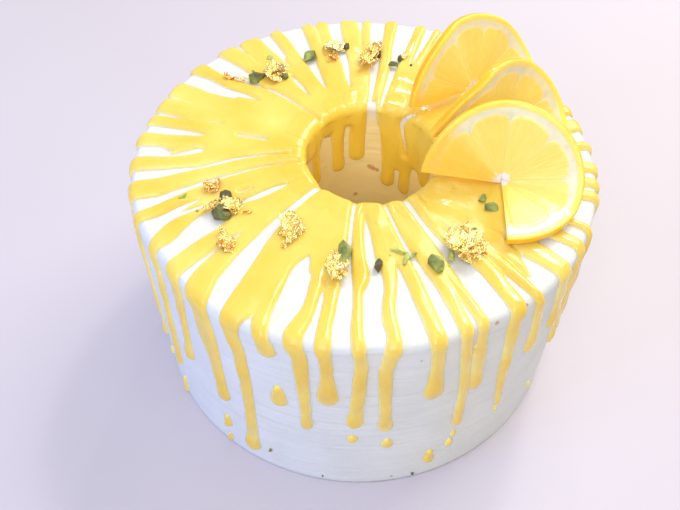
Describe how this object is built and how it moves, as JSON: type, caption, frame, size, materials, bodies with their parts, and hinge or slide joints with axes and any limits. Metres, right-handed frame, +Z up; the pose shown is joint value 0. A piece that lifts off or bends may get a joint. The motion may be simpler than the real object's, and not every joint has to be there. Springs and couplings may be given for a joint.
{
  "type": "chiffon cake",
  "caption": "Tall round ring cake in white cream, with a centre hole, lemon sauce running over the rim, pistachio bits, gold leaf and twisted lemon slices.",
  "frame": {"origin": "under the middle of the whole model's box, on the plane that the cake rests on", "axes": "+Z up along the cake's axis, -Y towards the front, +X towards the lemon slices"},
  "size_m": [0.1844, 0.185, 0.1343],
  "materials": {
    "cream_and_sauce": "white cream under clear yellow sauce",
    "lemon": "moist fruit"
  },
  "bodies": {
    "root": {"cake": "cream_and_sauce", "lemon_slice_front": "lemon", "lemon_slice_middle": "lemon", "lemon_slice_back": "lemon"}
  },
  "joints": []
}
